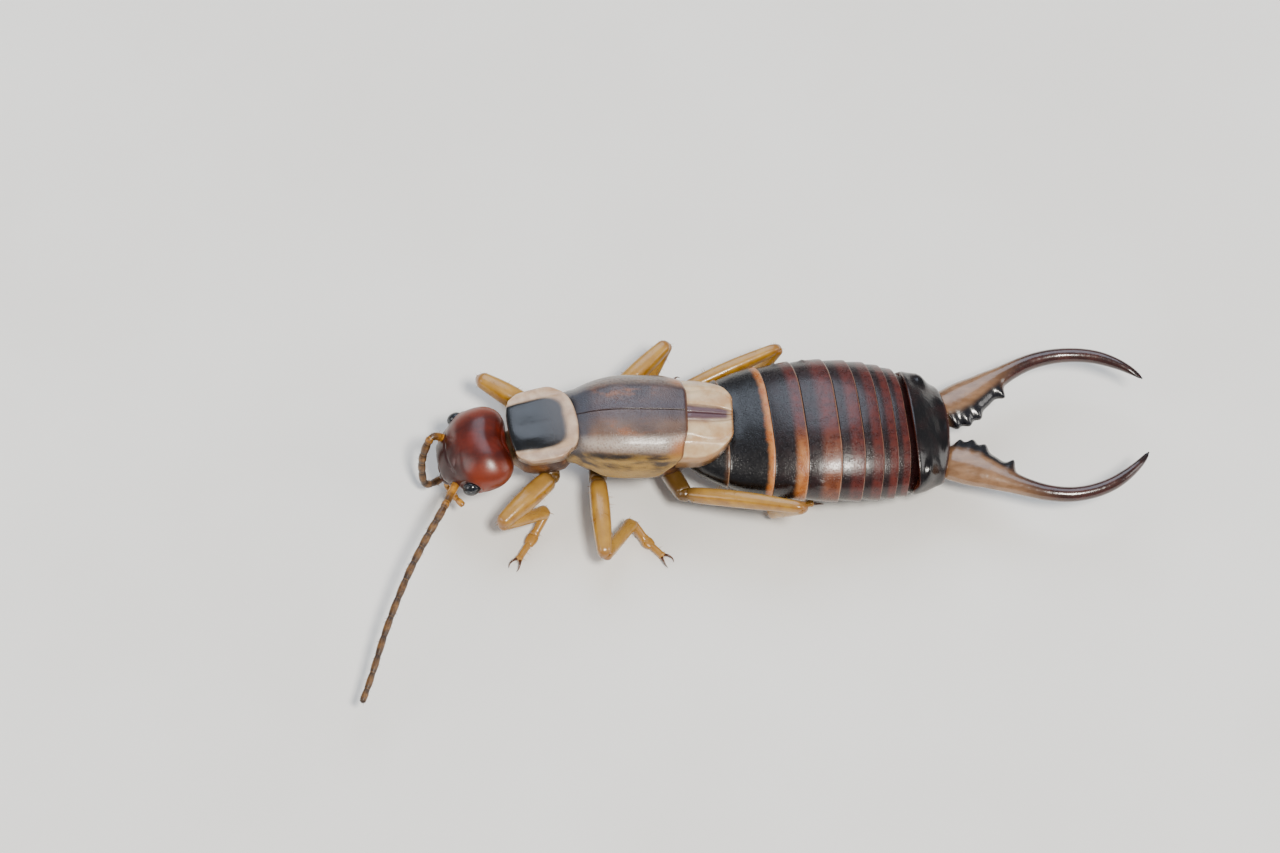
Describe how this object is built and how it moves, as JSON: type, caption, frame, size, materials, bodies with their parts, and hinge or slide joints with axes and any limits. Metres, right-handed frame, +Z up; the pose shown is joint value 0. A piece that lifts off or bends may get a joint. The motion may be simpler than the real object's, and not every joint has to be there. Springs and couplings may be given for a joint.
{
  "type": "earwig",
  "caption": "Life-size still model of a male earwig standing on its feet, with short wing cases, a ringed abdomen and open curved forceps.",
  "frame": {"origin": "middle of the bounding box, at floor level under the soles", "axes": "+X along the body towards the forceps, -Y the animal's left, +Z up"},
  "size_m": [0.02, 0.0102, 0.003],
  "materials": {
    "head_red": "glossy mahogany chitin, darker towards the jaws",
    "eye_black": "black faceted eye, glossy",
    "feeler_brown": "amber first joint, then brown beads with dark joints, semi-gloss",
    "shield_cream": "translucent cream rim round a glossy black disc",
    "underside_brown": "brown chitin, semi-gloss",
    "wing_case_tan": "leathery tan with fine punctures, semi-gloss",
    "wing_tip_cream": "pale cream with a brown stripe along the seam, semi-gloss",
    "abdomen_dark": "near-black to maroon rings with orange-brown rear bands, glossy and finely punctured",
    "forceps_horn": "horn, amber at the root and dark maroon towards the tips, glossy",
    "leg_amber": "honey amber chitin, semi-gloss"
  },
  "bodies": {
    "root": {"head": "head_red", "mouthparts": "head_red", "eye_left": "eye_black", "eye_right": "eye_black", "antenna_left": "feeler_brown", "antenna_right": "feeler_brown", "pronotum": "shield_cream", "prothorax": "underside_brown", "thorax": "underside_brown", "elytron_left": "wing_case_tan", "elytron_right": "wing_case_tan", "wing_tip_left": "wing_tip_cream", "wing_tip_right": "wing_tip_cream", "abdomen": "abdomen_dark", "last_tergite": "abdomen_dark", "cercus_left": "forceps_horn", "cercus_right": "forceps_horn", "leg_front_left_coxa": "leg_amber", "leg_front_left_femur": "leg_amber", "leg_front_left_tibia": "leg_amber", "leg_front_left_tarsus": "leg_amber", "leg_front_right_coxa": "leg_amber", "leg_front_right_femur": "leg_amber", "leg_front_right_tibia": "leg_amber", "leg_front_right_tarsus": "leg_amber", "leg_middle_left_coxa": "leg_amber", "leg_middle_left_femur": "leg_amber", "leg_middle_left_tibia": "leg_amber", "leg_middle_left_tarsus": "leg_amber", "leg_middle_right_coxa": "leg_amber", "leg_middle_right_femur": "leg_amber", "leg_middle_right_tibia": "leg_amber", "leg_middle_right_tarsus": "leg_amber", "leg_hind_left_coxa": "leg_amber", "leg_hind_left_femur": "leg_amber", "leg_hind_left_tibia": "leg_amber", "leg_hind_left_tarsus": "leg_amber", "leg_hind_right_coxa": "leg_amber", "leg_hind_right_femur": "leg_amber", "leg_hind_right_tibia": "leg_amber", "leg_hind_right_tarsus": "leg_amber"}
  },
  "joints": []
}
